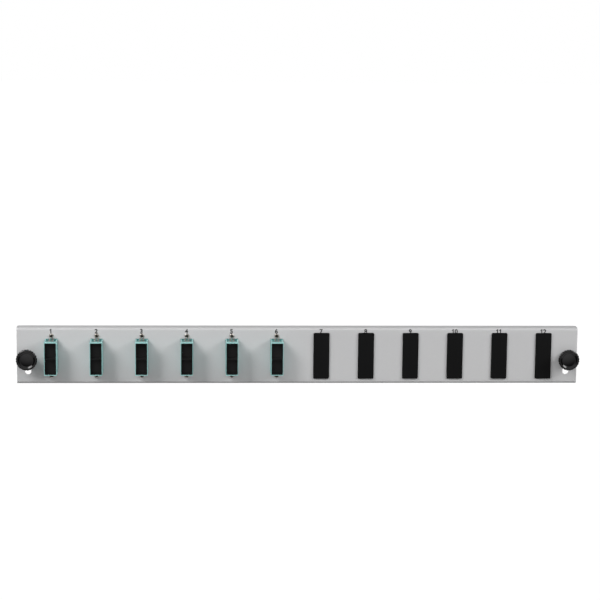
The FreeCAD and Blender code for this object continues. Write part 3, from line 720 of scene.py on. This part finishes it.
class PANEL_OT_fasteners(bpy.types.Operator):
    """Make the adapters' cross-head screws and plate them and their nuts"""

    bl_idname = "adapter_panel.fasteners"
    bl_label = "Fasteners"

    def execute(self, context):
        dark, mid, bright = (0.2, 0.17, 0.14), (0.42, 0.39, 0.35), (0.75, 0.74, 0.71)
        zinc = plated("bright_zinc", dark, mid, bright, 0.16)
        low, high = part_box("adapter_screws")
        head = 1.75 * MM
        rise = high.z - head
        places = []
        for number in ADAPTERS:
            across = middle(f"front_shell_{number}").x
            for up, lag in ((rise, 21), (-rise, 0)):
                # Each screw is driven home at an angle of its own
                turn = Matrix.Rotation(math.radians(37 * number + lag), 4, "Y")
                places.append(Matrix.Translation((across, 0, up)) @ turn)
        bm = stamped(self.screw(head, low.y, high.y), places)
        outward(bm)
        made = add_piece("adapter_screws_crossed", "panel", bm, ("adapter_screws",))
        paint(made, zinc)
        paint(eased_copy("adapter_nuts", 0.12 * MM), zinc)
        return {"FINISHED"}

    def screw(self, head, front, tip):
        """Pan head with a cross-shaped driving hollow, on a threaded shank."""
        seat = PLATE_LOW.y
        shank, root, lead, crown = 1.0 * MM, 0.8 * MM, 0.25 * MM, 0.45 * MM
        dome = [(head - crown + crown * math.sin(turn), front + 0.5 * MM * (1 - math.cos(turn)))
                for turn in (math.radians(15 * step) for step in range(7))]
        points = [*dome, (head, seat), (shank, seat), (shank, 0), (root, 0),
                  (root, tip - lead), (root - lead, tip), (0, tip)]
        bm = bmesh.new()
        turned(bm, points, 48)
        # Painted shade: 0.6 at the cross's edge on the head and full within its hollow, where the
        # plating goes near black
        for reach, depth, shade in ((1.22, 0, 0.6), (1.15, 0.06, 1.0), (0.5, 0.85, 1.0)):
            draw_in(bm, cross_outline(reach * MM, front + depth * MM), shade)
        close_rim(bm)
        thread_ridge(bm, shank, 0.24 * MM, 0, tip - 0.1 * MM, 0.4 * MM, 16)
        return bm


class PANEL_OT_stage(bpy.types.Operator):
    """Floor, lights and camera"""

    bl_idname = "adapter_panel.stage"
    bl_label = "Stage"

    def execute(self, context):
        look = context.scene.stage_look
        scene = context.scene
        scene.view_settings.view_transform = "Standard"
        self.lay_floor(scene, look)
        self.surround(scene, look)
        self.hang_softbox(scene, "key", look.key_place, -look.aim, look.key_size,
                          look.key_power, look.spread)
        self.hang_softbox(scene, "fill", look.fill_place, look.aim, look.fill_size,
                          look.fill_power, look.spread)
        self.place_camera(scene, look)
        return {"FINISHED"}

    def hang_softbox(self, scene, name, place, across, size, power, spread):
        """Square lamp behind a grid, turned to a point along the panel."""
        lamp = bpy.data.lights.new(name, "AREA")
        lamp.shape = "SQUARE"
        lamp.size = size
        lamp.energy = power
        lamp.spread = spread
        light = bpy.data.objects.new(name, lamp)
        light.location = place
        heading = Vector((across, 0, 0)) - Vector(place)
        light.rotation_euler = heading.to_track_quat("-Z", "Y").to_euler()
        scene.collection.objects.link(light)

    def lay_floor(self, scene, look):
        """Pale floor, white in the picture and in mirrors, that keeps a share of its shading
        and is clear from below."""
        half, glow, shading = 6.0, 1.06, 0.04
        bm = bmesh.new()
        bmesh.ops.create_grid(bm, x_segments=1, y_segments=1, size=half)
        move(bm, (0, half - look.floor_front, -look.floor_drop))
        mesh = bpy.data.meshes.new("floor")
        bm.to_mesh(mesh)
        bm.free()
        floor = bpy.data.objects.new("floor", mesh)
        scene.collection.objects.link(floor)
        ground = Finish("pale_floor", Roughness=0.9, Specular_IOR_Level=0.1)
        pale = tuple(look.floor_colour)
        cloud = ground.noise(6)
        ground.set("Base Color", ground.blend(cloud, scaled(pale, 0.97), scaled(pale, 1.03)))
        white = ground.node("ShaderNodeEmission", None,
                            {"Color": (1, 1, 1, 1), "Strength": glow})
        shader = ground.node("ShaderNodeMixShader", None,
                             {0: seen(ground) * (1 - shading), 1: ground.shader.outputs[0],
                              2: white.outputs[0]})
        below = ground.node("ShaderNodeNewGeometry").outputs["Backfacing"]
        clear = ground.node("ShaderNodeBsdfTransparent")
        either = ground.node("ShaderNodeMixShader", None,
                             {0: below, 1: shader.outputs[0], 2: clear.outputs[0]})
        surface = ground.tree.nodes["Material Output"].inputs["Surface"]
        ground.tree.links.new(either.outputs[0], surface)
        paint(floor, ground.material)

    def surround(self, scene, look):
        """Light from in front and, narrower, from behind in a dim room, white to the camera."""
        world = bpy.data.worlds.new("surround")
        scene.world = world
        world.use_nodes = True
        tree = world.node_tree
        room = Tree(tree)
        side, rear_edge = look.side_room, 0.7
        front = (0, -math.cos(look.front_tilt), math.sin(look.front_tilt))
        heading = room.node("ShaderNodeTexCoord").outputs["Generated"]
        camera, mirror, glass = rays(room)

        def towards(direction, least, most):
            """Nought where the cosine to a direction is below least, one above most."""
            cosine = room.node("ShaderNodeVectorMath", {"operation": "DOT_PRODUCT"},
                               {0: heading, 1: direction})
            sockets = {"Value": cosine.outputs["Value"], "From Min": least, "From Max": most}
            made = room.node("ShaderNodeMapRange", {"interpolation_type": "SMOOTHSTEP"}, sockets)
            return Value(room, made.outputs[0])

        ahead = towards(front, look.front_edge, 1.0)
        behind = towards((0, 1, 0), rear_edge, 1.0)
        back = (mirror + glass) * (1 - look.rear_room) + look.rear_room
        lit = side + ahead * (look.front_room - side) + behind * (back - side)
        strength = camera + (1 - camera) * lit
        mixed = room.node("ShaderNodeBackground", None,
                          {"Color": (1, 1, 1, 1), "Strength": strength})
        tree.links.new(mixed.outputs[0], tree.nodes["World Output"].inputs["Surface"])

    def place_camera(self, scene, look):
        """Camera turned right by yaw, down by pitch and about its own axis by roll."""
        yaw, pitch, roll = look.yaw, look.pitch, look.roll
        flat = math.cos(pitch)
        ahead = Vector((math.sin(yaw) * flat, math.cos(yaw) * flat, -math.sin(pitch)))
        level = Vector((math.cos(yaw), -math.sin(yaw), 0))
        upward = level.cross(ahead)
        right = level * math.cos(roll) + upward * math.sin(roll)
        above = upward * math.cos(roll) - level * math.sin(roll)
        lens = bpy.data.cameras.new("camera")
        lens.lens = look.lens
        lens.sensor_width = 36.0
        camera = bpy.data.objects.new("camera", lens)
        turn = Matrix((right, above, -ahead)).transposed().to_4x4()
        camera.matrix_world = Matrix.Translation(look.camera_place) @ turn
        scene.collection.objects.link(camera)
        scene.camera = camera


class PANEL_PT_sidebar(bpy.types.Panel):
    """Shows the settings and a button for each step"""

    bl_idname = "PANEL_PT_sidebar"
    bl_label = "Adapter panel"
    bl_space_type = "VIEW_3D"
    bl_region_type = "UI"
    bl_category = "Adapter panel"

    def draw(self, context):
        for group in (context.scene.panel_look, context.scene.stage_look):
            for name in group.__annotations__:
                self.layout.prop(group, name)
        for operator in OPERATORS:
            self.layout.operator(operator.bl_idname)


OPERATORS = (PANEL_OT_plate, PANEL_OT_numbers, PANEL_OT_adapters, PANEL_OT_blanks, PANEL_OT_knobs,
             PANEL_OT_fasteners, PANEL_OT_stage)
CLASSES = (PanelLook, StageLook, *OPERATORS, PANEL_PT_sidebar)


def register():
    for item in CLASSES:
        bpy.utils.register_class(item)
    bpy.types.Scene.panel_look = bpy.props.PointerProperty(type=PanelLook)
    bpy.types.Scene.stage_look = bpy.props.PointerProperty(type=StageLook)


def unregister():
    del bpy.types.Scene.panel_look
    del bpy.types.Scene.stage_look
    for item in reversed(CLASSES):
        bpy.utils.unregister_class(item)


def main():
    register()
    for operator in OPERATORS:
        group, name = operator.bl_idname.split(".")
        getattr(getattr(bpy.ops, group), name)()


if __name__ == "__main__":
    main()
